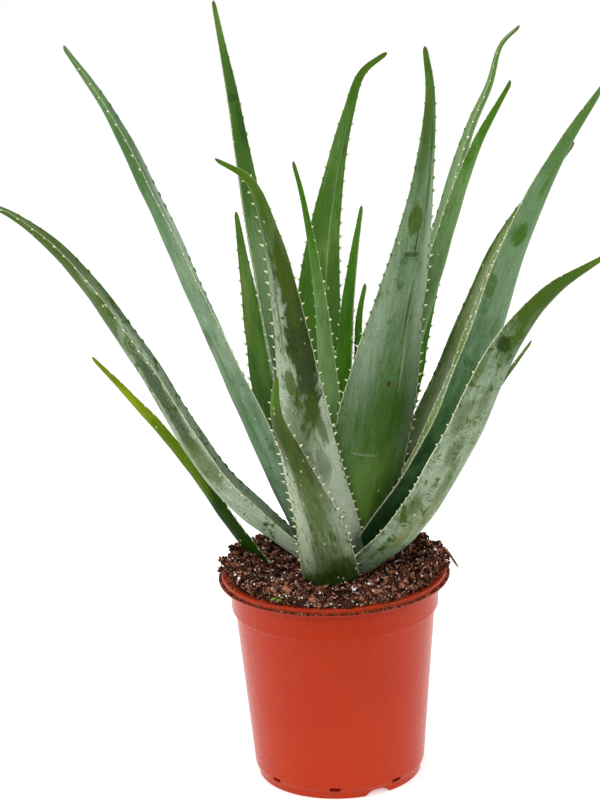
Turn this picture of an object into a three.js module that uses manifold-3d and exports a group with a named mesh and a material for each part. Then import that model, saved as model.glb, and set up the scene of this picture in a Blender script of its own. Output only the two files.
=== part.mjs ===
// Potted aloe: a rosette of fleshy toothed leaves round a short stem, in the soil of a round plastic
// nursery pot. Millimetres, +Z up, origin on the pot's axis at the plane it stands on. -Y is the front.
import * as THREE from 'three';
import { mergeVertices } from 'three/addons/utils/BufferGeometryUtils.js';
import Module from 'manifold-3d';

const wasm = await Module();
wasm.setup();

// ---- driving dimensions -------------------------------------------------------------------------

const gap = 0.35; // clearance between pieces that touch

const pot = {
  facets: 40,
  wall: 1.3,
  floor: 1.6,
  ledgeRadius: 85, // the thin outer ledge is the widest part of the pot
  ledgeHeight: 153.6,
  ledgeThickness: 1.4,
  rimRadius: 82.6, // flat ring on top, a step above the ledge
  rimHeight: 157.2,
  mouthRadius: 74.6,
  collarTop: 76.6, // outer radius of the collar just under the lip
  collarBottom: 76.0,
  collarHeight: 131.5,
  shoulderRadius: 73.4, // outer radius of the body just under the collar
  shoulderHeight: 128.5,
  baseRadius: 63.0, // outer radius of the body above the foot
  baseHeight: 8.5,
  footRadius: 60.2,
  footInner: 57.6,
  floorHeight: 7.0,
  padRadius: 16, // centre pad of the floor, which reaches the ground
  notches: 3,
  firstNotch: 27, // degrees right of the front
  notchWidth: 20,
  notchHeight: 4.2,
  notchDepth: 12,
  drains: 8,
  firstDrain: -4,
  drainRadius: 4.2,
  drainCircle: 46,
  slotWidth: 8,
  slotHeight: 3,
};

const soil = {
  facets: 40,
  rings: 9,
  level: 157.5, // at the stem
  edgeRadius: 80.2,
  edgeRise: 0.8, // thinnest cover over the rim
  heap: 12, // height of the soil raised inside the rim, at the left and right
  heapFront: 0.05, // share of it at the front and at the back
  heapBack: 0.35,
  heapReach: 0.88, // where it is highest, as a share of the edge radius
  heapSpread: 0.2,
  lumps: 1.5, // greatest rise of the long and the short waves together
};

const stem = { radius: 12, bottom: 96, shoulder: 168, top: 175, facets: 20 };

// ---- leaves -------------------------------------------------------------------------------------
// spine: points from root to tip. widths: blade width at the root, a quarter, half and three quarters
// of the length; it then narrows to the tip. facing: bearing of the outer face, in degrees, at root
// and tip. thick: greatest thickness. channel: depth of the hollow of the inner face, as a share of
// the blade's half width, at root and tip.

const leaves = [
  {
    name: 'leaf_front_short',
    spine: [[-2, -28, 157], [-11, -49, 211], [-25, -74, 266], [-37, -87, 306], [-36, -93, 336]],
    widths: [42, 35, 22, 12],
    facing: [268, 262],
    thick: 9,
    channel: [0.2, 0.1],
  },
  {
    name: 'leaf_front_curled',
    spine: [
      [2, -16, 167], [-16, -42, 255], [-25, -72, 353],
      [-36, -94, 435], [-50, -101, 479], [-72, -105, 496],
    ],
    widths: [46, 44, 29, 16],
    facing: [262, 250],
    thick: 11,
    channel: [0.3, 0.1],
  },
  {
    name: 'leaf_low_right',
    spine: [
      [21, -10, 161], [58, -36, 204], [98, -72, 284],
      [124, -98, 351], [154, -117, 398], [193, -135, 430],
    ],
    widths: [30, 33, 33, 23],
    facing: [310, 310],
    thick: 11,
    channel: [0.35, 0.15],
  },
  {
    name: 'leaf_tall_right',
    spine: [
      [17, -3, 163], [80, -25, 255], [114, -41, 344],
      [137, -57, 419], [165, -73, 485], [196, -85, 538],
    ],
    widths: [32, 40, 35, 24],
    facing: [325, 320],
    thick: 11,
    channel: [0.35, 0.15],
  },
  {
    name: 'leaf_channelled_right',
    spine: [
      [16, 7, 162], [66, 36, 242], [92, 58, 292],
      [115, 78, 344], [136, 93, 384], [188, 108, 447],
    ],
    widths: [30, 36, 29, 14],
    facing: [5, 15],
    thick: 9,
    channel: [0.35, 0.2],
  },
  {
    name: 'leaf_right_behind',
    spine: [[14, 10, 166], [57, 37, 274], [77, 51, 345], [96, 60, 406]],
    widths: [26, 32, 25, 12],
    facing: [305, 300],
    thick: 8,
    channel: [0.3, 0.15],
  },
  {
    name: 'leaf_broad_centre',
    spine: [
      [13, -6, 171], [36, -24, 287], [49, -42, 356], [61, -55, 412],
      [72, -68, 481], [76, -72, 531], [73, -72, 562],
    ],
    widths: [46, 57, 38, 16],
    facing: [284, 276],
    thick: 8,
    channel: [0.1, 0.05],
  },
  {
    name: 'leaf_narrow_right',
    spine: [[12, 2, 173], [48, 2, 284], [87, 0, 407], [109, 4, 469], [136, 8, 518]],
    widths: [18, 24, 24, 16],
    facing: [335, 335],
    thick: 9,
    channel: [0.3, 0.15],
  },
  {
    name: 'leaf_high_right',
    spine: [
      [9, 10, 171], [54, 57, 284], [86, 92, 380], [111, 112, 458],
      [126, 116, 490], [135, 116, 520], [149, 112, 535],
    ],
    widths: [26, 36, 30, 15],
    facing: [22, 5],
    thick: 9,
    channel: [0.3, 0.15],
  },
  {
    name: 'leaf_long_left',
    spine: [
      [-20, 2, 168], [-80, 14, 222], [-140, 26, 322],
      [-187, 36, 389], [-225, 42, 422], [-247, 44, 432],
    ],
    widths: [32, 36, 30, 20],
    facing: [190, 170],
    thick: 11,
    channel: [0.35, 0.2],
  },
  {
    name: 'leaf_thin_left',
    spine: [
      [-27, 9, 144], [-53, 17, 158], [-78, 24, 190], [-100, 30, 224],
      [-124, 35, 256], [-148, 40, 284], [-173, 45, 312],
    ],
    widths: [16, 16, 15, 12],
    facing: [215, 225],
    thick: 5,
    channel: [0.2, 0.1],
    colour: 'paleLeaf',
  },
  {
    name: 'leaf_upper_left',
    spine: [
      [-17, 7, 169], [-62, 18, 284], [-92, 24, 359],
      [-122, 30, 433], [-152, 34, 500], [-181, 36, 547],
    ],
    widths: [30, 36, 30, 20],
    facing: [205, 165],
    thick: 10,
    channel: [0.3, 0.2],
  },
  {
    name: 'leaf_tallest',
    spine: [[-11, 14, 175], [-44, 77, 346], [-55, 100, 412], [-65, 116, 487], [-76, 122, 559]],
    widths: [28, 35, 24, 14],
    facing: [150, 130],
    thick: 9,
    channel: [0.3, 0.15],
  },
  {
    name: 'leaf_left_back',
    spine: [[-13, 14, 166], [-40, 68, 235], [-55, 115, 307], [-61, 136, 348], [-66, 150, 391]],
    widths: [28, 34, 27, 14],
    facing: [130, 120],
    thick: 8,
    channel: [0.3, 0.15],
  },
  {
    name: 'leaf_narrow_centre',
    spine: [[0, -4, 177], [-2, -15, 299], [-5, -23, 371], [-14, -31, 446], [-20, -34, 475]],
    widths: [20, 25, 17, 9],
    facing: [225, 215],
    thick: 7,
    channel: [0.25, 0.1],
    colour: 'youngLeaf',
  },
  {
    name: 'leaf_inner_right',
    spine: [[3, 8, 176], [14, 42, 304], [19, 53, 355], [24, 59, 387], [29, 62, 416]],
    widths: [16, 21, 17, 11],
    facing: [50, 40],
    thick: 6,
    channel: [0.25, 0.1],
    colour: 'youngLeaf',
  },
  {
    name: 'leaf_inner_small',
    spine: [[10, 4, 176], [23, 24, 262], [25, 45, 336], [30, 48, 361]],
    widths: [12, 15, 13, 8],
    facing: [50, 50],
    thick: 5,
    channel: [0.2, 0.1],
    colour: 'youngLeaf',
  },
  {
    name: 'leaf_tall_back',
    spine: [
      [-3, 15, 168], [-8, 69, 265], [-2, 122, 357], [11, 153, 422],
      [22, 164, 462], [33, 164, 492], [52, 160, 508],
    ],
    widths: [32, 44, 32, 14],
    facing: [90, 80],
    thick: 9,
    channel: [0.25, 0.1],
  },
  {
    name: 'leaf_small_right',
    spine: [[17, 15, 164], [74, 56, 213], [121, 85, 259], [154, 100, 297]],
    widths: [15, 20, 18, 12],
    facing: [350, 350],
    thick: 5,
    channel: [0.2, 0.1],
    colour: 'youngLeaf',
  },
];

const blade = {
  stations: 14,
  tipWidth: 3.4,
  tipThickness: 1.6,
  rootThinness: 0.6, // the blade is thinner where it clasps the stem
  rootShare: 0.14,
  outerCorner: 0.6, // where the rounded outer face turns, as a share of the half width
  outerCornerRise: 0.64, // and of the depth of the section
  innerCorner: 0.5,
  innerCornerRise: 0.75,
};

const tooth = {
  spacing: 27,
  length: 2.3, // proud of the margin
  root: 2.6, // sunk into the blade
  base: 5.4, // along the margin, at the sunk end
  lean: 1.2, // towards the leaf's tip
  lift: 0.9, // of the sunk end, outwards from the margin's plane
  thickness: 1.4,
  fullSizeHalfWidth: 7, // on narrower blades a tooth is smaller in proportion
  cutterSwell: 1.8, // of the tooth's copy that clears it from the neighbouring leaves
};

// ---- solids -------------------------------------------------------------------------------------

function toSolid(geometry) {
  const bare = geometry.clone();
  bare.deleteAttribute('normal');
  bare.deleteAttribute('uv');
  const merged = mergeVertices(bare, 1e-4);
  const triangles = Uint32Array.from(merged.index.array);
  const positions = Float32Array.from(merged.attributes.position.array);
  const isWhole = (i) => new Set([triangles[i], triangles[i + 1], triangles[i + 2]]).size === 3;
  const kept = [];
  for (let i = 0; i < triangles.length; i += 3) {
    if (isWhole(i)) kept.push(triangles[i], triangles[i + 1], triangles[i + 2]);
  }
  return new wasm.Manifold(new wasm.Mesh({
    numProp: 3, vertProperties: positions, triVerts: Uint32Array.from(kept),
  }));
}

function toGeometry(solid) {
  const mesh = solid.getMesh();
  const geometry = new THREE.BufferGeometry();
  const positions = new Float32Array(mesh.numVert * 3);
  for (let v = 0; v < mesh.numVert; v += 1) {
    positions.set(mesh.vertProperties.subarray(v * mesh.numProp, v * mesh.numProp + 3), v * 3);
  }
  geometry.setAttribute('position', new THREE.BufferAttribute(positions, 3));
  geometry.setIndex(new THREE.BufferAttribute(Uint32Array.from(mesh.triVerts), 1));
  geometry.computeVertexNormals();
  return geometry;
}

// Turns a profile of [radius, height] points round the Z axis.
function turned(profile, facets) {
  const points = profile.map(([radius, height]) => new THREE.Vector2(radius, height));
  const geometry = new THREE.LatheGeometry(points, facets);
  geometry.rotateX(Math.PI / 2);
  return geometry;
}

function largestBody(solid) {
  const bodies = solid.decompose();
  return bodies.reduce((best, body) => (body.volume() > best.volume() ? body : best));
}

function boxesMeet(a, b) {
  const first = a.boundingBox();
  const second = b.boundingBox();
  return [0, 1, 2].every((k) => first.min[k] <= second.max[k] && second.min[k] <= first.max[k]);
}

function cutClear(solid, cutters) {
  const near = cutters.filter((cutter) => boxesMeet(solid, cutter));
  return near.reduce((rest, cutter) => rest.subtract(cutter), solid);
}

// ---- pot ----------------------------------------------------------------------------------------

function potSolid() {
  const { wall, floorHeight: floorAt, floor } = pot;
  const outside = [
    [0, 0],
    [pot.padRadius, 0],
    [pot.padRadius + floorAt - floor, floorAt - floor],
    [pot.footInner, floorAt - floor],
    [pot.footInner, 0],
    [pot.footRadius, 0],
    [pot.footRadius + 0.4, floorAt - floor],
    [pot.baseRadius - 0.7, pot.baseHeight - 1.3],
    [pot.baseRadius, pot.baseHeight + 1.2],
    [pot.shoulderRadius, pot.shoulderHeight],
    [pot.collarBottom, pot.collarHeight - 0.8],
    [pot.collarBottom + 0.1, pot.collarHeight],
    [pot.collarTop, pot.rimHeight - 1.5 * wall],
    [pot.rimRadius - wall, pot.rimHeight - 1.2 * wall],
    [pot.rimRadius - wall, pot.ledgeHeight - pot.ledgeThickness],
    [pot.ledgeRadius - 0.4, pot.ledgeHeight - pot.ledgeThickness],
    [pot.ledgeRadius, pot.ledgeHeight - 0.5],
    [pot.ledgeRadius - 0.3, pot.ledgeHeight],
    [pot.rimRadius + 0.2, pot.ledgeHeight],
    [pot.rimRadius, pot.rimHeight - 0.4],
    [pot.rimRadius - 0.4, pot.rimHeight],
  ];
  const inside = [
    [pot.mouthRadius + 0.4, pot.rimHeight],
    [pot.mouthRadius, pot.rimHeight - 1.5 * wall],
    [pot.collarBottom - wall, pot.collarHeight],
    [pot.shoulderRadius - wall, pot.shoulderHeight],
    [pot.baseRadius - wall, pot.baseHeight + 1.8],
    [pot.footRadius - wall, floorAt],
    [pot.padRadius + floorAt - floor, floorAt],
    [pot.padRadius, floor],
    [0, floor],
  ];
  const shell = toSolid(turned([...outside, ...inside], pot.facets));
  return shell.subtract(wasm.Manifold.union([...footNotches(), ...drainHoles()]));
}

// Arched notches through the foot ring; the first is a little right of the front.
function footNotches() {
  const half = pot.notchWidth / 2;
  const arch = new THREE.Shape();
  arch.moveTo(-half, -1);
  arch.lineTo(half, -1);
  arch.lineTo(half, 0);
  arch.bezierCurveTo(half * 0.7, pot.notchHeight, half * 0.4, pot.notchHeight, 0, pot.notchHeight);
  arch.bezierCurveTo(-half * 0.4, pot.notchHeight, -half * 0.7, pot.notchHeight, -half, 0);
  arch.closePath();
  const notches = [];
  for (let k = 0; k < pot.notches; k += 1) {
    const options = { depth: pot.notchDepth, bevelEnabled: false, curveSegments: 5 };
    const geometry = new THREE.ExtrudeGeometry(arch, options);
    geometry.rotateX(Math.PI / 2);
    geometry.translate(0, pot.notchDepth / 2 - pot.footRadius, 0);
    geometry.rotateZ(THREE.MathUtils.degToRad(pot.firstNotch + (360 / pot.notches) * k));
    notches.push(toSolid(geometry));
  }
  return notches;
}

// Slots where the wall meets the floor, and round holes in the floor between them and the pad.
function drainHoles() {
  const holes = [];
  for (let k = 0; k < pot.drains; k += 1) {
    const turn = THREE.MathUtils.degToRad(pot.firstDrain + (360 / pot.drains) * k);
    const slot = new THREE.BoxGeometry(pot.slotWidth, 6 * pot.wall, pot.slotHeight);
    slot.translate(0, -pot.baseRadius, pot.floorHeight + pot.slotHeight / 2 - 0.4);
    slot.rotateZ(turn);
    const hole = new THREE.CylinderGeometry(pot.drainRadius, pot.drainRadius, 6 * pot.floor, 10);
    hole.rotateX(Math.PI / 2);
    hole.translate(0, -pot.drainCircle, pot.floorHeight);
    hole.rotateZ(turn);
    holes.push(toSolid(slot), toSolid(hole));
  }
  return holes;
}

// ---- soil and stem ------------------------------------------------------------------------------

// Coarse soil: a few long waves and shorter lumps, the same everywhere on the surface of revolution.
function soilRise(x, y) {
  const reach = Math.hypot(x, y) / soil.edgeRadius;
  const around = Math.atan2(y, x);
  const frontToBack = THREE.MathUtils.lerp(soil.heapFront, soil.heapBack, (1 + Math.sin(around)) / 2);
  const raised = THREE.MathUtils.lerp(frontToBack, 1, Math.cos(around) ** 2);
  const heap = soil.heap * raised * Math.exp(-(((reach - soil.heapReach) / soil.heapSpread) ** 2));
  const long = Math.sin(x * 0.11 + 1.3) * Math.cos(y * 0.13 - 0.4);
  const short = Math.sin(x * 0.37 + y * 0.21) * Math.cos(y * 0.41 - x * 0.17 + 2.1);
  return heap + (soil.lumps * (long + short)) / 2;
}

function soilSolid() {
  const under = pot.rimHeight + gap;
  const fill = [
    [0, pot.floor + gap],
    [pot.padRadius - gap, pot.floor + gap],
    [pot.padRadius + pot.floorHeight - pot.floor - gap, pot.floorHeight + gap],
    [pot.footRadius - pot.wall - gap, pot.floorHeight + gap],
    [pot.baseRadius - pot.wall - gap, pot.baseHeight + 1.8 + gap],
    [pot.shoulderRadius - pot.wall - gap, pot.shoulderHeight + gap],
    [pot.collarBottom - pot.wall - gap, pot.collarHeight + gap],
    [pot.mouthRadius - gap, pot.rimHeight - 1.5 * pot.wall],
    [pot.mouthRadius - gap, under],
    [soil.edgeRadius, under],
    [soil.edgeRadius, under + soil.edgeRise],
  ];
  const topStart = fill.length;
  for (let ring = 1; ring <= soil.rings; ring += 1) {
    const radius = soil.edgeRadius * (1 - (ring / soil.rings) ** 1.15);
    fill.push([ring === soil.rings ? 0 : radius, soil.level]);
  }
  const geometry = turned(fill, soil.facets);
  const position = geometry.attributes.position;
  const rows = fill.length;
  for (let v = 0; v < position.count; v += 1) {
    if (v % rows < topStart) continue;
    const x = position.getX(v);
    const y = position.getY(v);
    const lowest = under + soil.edgeRise;
    const rim = Math.hypot(x, y) > pot.mouthRadius - 5;
    position.setZ(v, Math.max(soil.level + soilRise(x, y), rim ? lowest : 0));
  }
  return toSolid(geometry);
}

function stemSolid(grow = 0) {
  const radius = stem.radius + grow;
  return toSolid(turned([
    [0, stem.bottom - grow],
    [radius * 0.75, stem.bottom - grow],
    [radius, stem.bottom + 14],
    [radius, stem.shoulder],
    [radius * 0.65, stem.top - 2 + grow],
    [0, stem.top + grow],
  ], stem.facets));
}

// ---- leaves' shape ------------------------------------------------------------------------------

// Smooth value through evenly spaced samples, for a share of the length from 0 to 1.
function through(samples, share) {
  const last = samples.length - 1;
  const at = Math.min(Math.floor(share * last), last - 1);
  const here = samples[at];
  const next = samples[at + 1];
  const before = at > 0 ? samples[at - 1] : 2 * here - next;
  const after = at + 2 <= last ? samples[at + 2] : next + 0.6 * (next - here);
  const t = share * last - at;
  return 0.5 * (2 * here + (next - before) * t + (2 * before - 5 * here + 4 * next - after) * t * t
    + (3 * here - before - 3 * next + after) * t * t * t);
}

// The cross-section's place, axes and sizes at a share of the leaf's length.
function stationOf(leaf, share) {
  const tangent = leaf.curve.getTangentAt(share);
  const centre = leaf.curve.getPointAt(share);
  const bearing = THREE.MathUtils.degToRad(THREE.MathUtils.lerp(leaf.facing[0], leaf.facing[1], share));
  const side = new THREE.Vector3(-Math.sin(bearing), Math.cos(bearing), 0);
  side.addScaledVector(tangent, -side.dot(tangent)).normalize();
  const outward = new THREE.Vector3().crossVectors(side, tangent);
  const half = Math.max(through([...leaf.widths, blade.tipWidth], share), blade.tipWidth) / 2;
  const fullness = (2 * half / Math.max(...leaf.widths)) ** 0.7;
  const clasp = THREE.MathUtils.lerp(blade.rootThinness, 1, Math.min(share / blade.rootShare, 1));
  const thickness = Math.max(leaf.thick * fullness * clasp, blade.tipThickness);
  const hollow = half * THREE.MathUtils.lerp(leaf.channel[0], leaf.channel[1], share);
  centre.addScaledVector(outward, -(thickness + hollow) / 2);
  return { tangent, centre, side, outward, half, thickness, hollow };
}

function onStation(station, across, out) {
  return station.centre.clone()
    .addScaledVector(station.side, across)
    .addScaledVector(station.outward, out);
}

// A lofted blade: rounded outer face, hollow inner face, thin margins. grow enlarges it all round.
function bladeSolid(leaf, grow = 0) {
  const ring = [];
  const rows = blade.stations + 1;
  for (let k = 0; k < rows; k += 1) {
    const station = stationOf(leaf, k / blade.stations);
    if (k === 0) station.centre.addScaledVector(station.tangent, -grow);
    if (k === rows - 1) station.centre.addScaledVector(station.tangent, grow);
    const { outerCorner, outerCornerRise, innerCorner, innerCornerRise } = blade;
    const half = station.half + 2 * grow;
    const margin = -1.3 * grow;
    const depth = station.thickness + station.hollow;
    const outerTurn = station.half * outerCorner + grow;
    const outerRise = depth * outerCornerRise + grow;
    const innerTurn = station.half * innerCorner;
    const innerRise = station.hollow * innerCornerRise - 1.3 * grow;
    ring.push([
      onStation(station, -half, margin),
      onStation(station, -outerTurn, outerRise),
      onStation(station, 0, depth + 1.3 * grow),
      onStation(station, outerTurn, outerRise),
      onStation(station, half, margin),
      onStation(station, innerTurn, innerRise),
      onStation(station, 0, station.hollow - 1.3 * grow),
      onStation(station, -innerTurn, innerRise),
    ]);
  }
  const sides = ring[0].length;
  const cap = [[0, 1, 7], [1, 6, 7], [1, 2, 6], [2, 3, 6], [3, 5, 6], [3, 4, 5]];
  const index = [];
  for (let k = 0; k < rows - 1; k += 1) {
    for (let i = 0; i < sides; i += 1) {
      const a = k * sides + i;
      const b = k * sides + ((i + 1) % sides);
      index.push(a, b, a + sides, b, b + sides, a + sides);
    }
  }
  const lastRow = (rows - 1) * sides;
  for (const [a, b, c] of cap) {
    index.push(a, c, b);
    index.push(lastRow + a, lastRow + b, lastRow + c);
  }
  return fromPoints(ring.flat(), index);
}

function fromPoints(points, index) {
  const geometry = new THREE.BufferGeometry().setFromPoints(points);
  geometry.setIndex(index);
  const solid = toSolid(geometry);
  if (solid.volume() > 0) return solid;
  const flipped = [];
  for (let i = 0; i < index.length; i += 3) flipped.push(index[i], index[i + 2], index[i + 1]);
  geometry.setIndex(flipped);
  return toSolid(geometry);
}

// Marginal teeth: small three-sided spines sunk into both margins, hooked towards the tip. swell
// enlarges each about its own middle.
function toothSolids(leaf, swell = 1) {
  const teeth = [];
  const count = Math.floor(leaf.curve.getLength() / tooth.spacing);
  for (let k = 1; k < count; k += 1) {
    for (const hand of [-1, 1]) {
      const station = stationOf(leaf, (k + 0.25 * hand) / count);
      const scale = Math.min(1, station.half / tooth.fullSizeHalfWidth);
      const inner = hand * (station.half - tooth.root * scale);
      const apex = hand * (station.half + tooth.length * scale);
      const low = tooth.lift * scale;
      const corners = [
        onStation(station, inner, low).addScaledVector(station.tangent, -tooth.base / 2 * scale),
        onStation(station, inner, low).addScaledVector(station.tangent, tooth.base / 2 * scale),
        onStation(station, inner, low + tooth.thickness * scale),
        onStation(station, apex, low).addScaledVector(station.tangent, tooth.lean * scale),
      ];
      const middle = new THREE.Vector3();
      corners.forEach((corner) => middle.addScaledVector(corner, 1 / corners.length));
      const swollen = corners.map((corner) => middle.clone().lerp(corner, swell));
      teeth.push(fromPoints(swollen, [0, 1, 2, 0, 3, 1, 1, 3, 2, 2, 3, 0]));
    }
  }
  return teeth;
}

// ---- the plant in its pot -----------------------------------------------------------------------

const colours = {
  pot: 0xb8452c,
  soil: 0x4b2f24,
  stem: 0x8b9a63,
  leaf: 0x5f8560,
  youngLeaf: 0x4f8a35,
  paleLeaf: 0x8fa83c,
};

function material(colour, roughness) {
  return new THREE.MeshStandardMaterial({ color: colour, roughness, metalness: 0 });
}

const plant = new THREE.Group();

function add(name, solid, surface) {
  const mesh = new THREE.Mesh(toGeometry(largestBody(solid)), surface);
  mesh.name = name;
  plant.add(mesh);
}

const cutters = [stemSolid(gap)];
const leafSolids = [];
for (const leaf of leaves) {
  leaf.curve = new THREE.CatmullRomCurve3(leaf.spine.map((point) => new THREE.Vector3(...point)));
  const whole = wasm.Manifold.union([bladeSolid(leaf), ...toothSolids(leaf)]);
  leafSolids.push(cutClear(whole, cutters));
  const clearing = [bladeSolid(leaf, gap), ...toothSolids(leaf, tooth.cutterSwell)];
  cutters.push(wasm.Manifold.union(clearing));
}

add('pot', potSolid(), material(colours.pot, 0.42));
add('soil', cutClear(soilSolid(), cutters), material(colours.soil, 0.95));
add('stem', stemSolid(), material(colours.stem, 0.7));
leaves.forEach((leaf, k) => {
  add(leaf.name, leafSolids[k], material(colours[leaf.colour ?? 'leaf'], 0.5));
});

export default plant;
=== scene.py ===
"""A potted aloe: fleshy toothed leaves in coarse soil in a round terracotta-red plastic nursery pot.

Metres, +Z up, origin under the middle of the pot, -Y to the front. The leaves repeat the spines, widths
and bearings of the solid model in millimetres, so each finer leaf lies where its solid lies.
"""

import math
from types import SimpleNamespace

import bmesh
import bpy
import numpy as np
from mathutils import Matrix, Vector


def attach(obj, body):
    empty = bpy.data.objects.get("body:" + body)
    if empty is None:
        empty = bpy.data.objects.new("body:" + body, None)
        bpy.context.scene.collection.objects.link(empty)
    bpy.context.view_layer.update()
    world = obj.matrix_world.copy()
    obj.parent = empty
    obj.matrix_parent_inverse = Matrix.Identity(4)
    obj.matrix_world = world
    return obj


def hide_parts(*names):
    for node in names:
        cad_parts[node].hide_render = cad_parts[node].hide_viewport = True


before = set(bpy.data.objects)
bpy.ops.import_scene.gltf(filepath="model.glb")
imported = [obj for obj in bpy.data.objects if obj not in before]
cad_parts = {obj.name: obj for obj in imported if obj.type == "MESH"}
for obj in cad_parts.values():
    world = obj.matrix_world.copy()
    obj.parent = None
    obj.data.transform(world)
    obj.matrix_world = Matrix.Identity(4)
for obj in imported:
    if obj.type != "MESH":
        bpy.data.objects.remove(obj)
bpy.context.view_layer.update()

MM = 0.001

# ---- driving dimensions, as in the solid model, in millimetres ------------------------------------

POT = SimpleNamespace(
    wall=1.3, floor=1.6, ledge_radius=85.0, ledge_height=153.6, ledge_thickness=1.4,
    rim_radius=82.6, rim_height=157.2, mouth_radius=74.6,
    collar_top=76.6, collar_bottom=76.0, collar_height=131.5, shoulder_radius=73.4, shoulder_height=128.5,
    base_radius=63.0, base_height=8.5, foot_radius=60.2, foot_inner=57.6, floor_height=7.0, pad_radius=16.0,
    notches=3, first_notch=27.0, notch_width=20.0, notch_height=4.2,
    drains=8, first_drain=-4.0, drain_radius=4.2, drain_circle=46.0, slot_width=8.0, slot_height=3.0,
)
SOIL = SimpleNamespace(
    level=157.5, edge_radius=80.2, edge_rise=0.8, heap=12.0, heap_front=0.05, heap_back=0.35,
    heap_reach=0.88, heap_spread=0.2, lumps=1.5,
)
BLADE = SimpleNamespace(tip_width=3.4, tip_thickness=1.6, root_thinness=0.6, root_share=0.14)
TOOTH = SimpleNamespace(length=3.0, lean=1.8, base=4.2, thickness=1.4, full_size_half_width=7.0)

# ---- choices of this finer model ------------------------------------------------------------------

PITCH = SimpleNamespace(first=9.0, first_spread=4, near=6.2, near_per_width=0.03, far=12.5, last_share=0.965)
COUNTS = SimpleNamespace(crumbs=6500, edge_crumbs=1600, loose_clods=75, lip_crumbs=4200, perlite=1250,
                         fibres=1100, pebbles=7)
SEEDS = SimpleNamespace(blades=100, teeth=500, ground=3, drift=9, pebbles=40, soil=21)


def srgb(red, green, blue):
    """A colour given as 0-255 display values, as linear RGBA."""
    def linear(value):
        share = value / 255
        return share / 12.92 if share <= 0.04045 else ((share + 0.055) / 1.055) ** 2.4
    return (linear(red), linear(green), linear(blue), 1.0)


CREAM = srgb(246, 244, 206)
TOOTH_TIP = srgb(206, 168, 122)
BLEMISH = srgb(88, 34, 22)
FLECK = srgb(206, 216, 168)
TIP_GREEN = srgb(78, 112, 20)
RUBBED = srgb(34, 56, 0)
OLIVE = srgb(70, 92, 18)
GREEN = srgb(58, 102, 12)
BROWNISH = srgb(122, 126, 66)
WAXY = srgb(158, 172, 148)

# Display colours of the deep, middle and light flesh and of the thin and thick bloom; softness of the
# bloom's edge; how much of it is rubbed off; share of the skin with pale flecks.
KINDS = {
    "smooth": ((30, 60, 4), (66, 106, 28), (106, 144, 62), (98, 128, 94), (168, 186, 156),
        0.45, 0.35, 0.02),
    "mottled": ((26, 46, 4), (66, 96, 28), (114, 140, 68), (106, 132, 98), (190, 202, 178),
        0.14, 0.5, 0.1),
    "olive": ((34, 48, 14), (76, 94, 42), (130, 142, 88), (104, 122, 86), (180, 190, 164),
        0.25, 0.5, 0.3),
    "young": ((32, 76, 0), (60, 110, 10), (104, 148, 46), (94, 132, 76), (158, 182, 140),
        0.5, 0.3, 0.06),
    "teal": ((24, 54, 26), (64, 102, 56), (108, 144, 88), (98, 128, 100), (168, 188, 160),
        0.4, 0.3, 0.02),
    "yellow": ((28, 58, 0), (84, 110, 4), (138, 152, 12), (116, 136, 70), (170, 180, 120),
        0.5, 0.3, 0.2),
}

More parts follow.
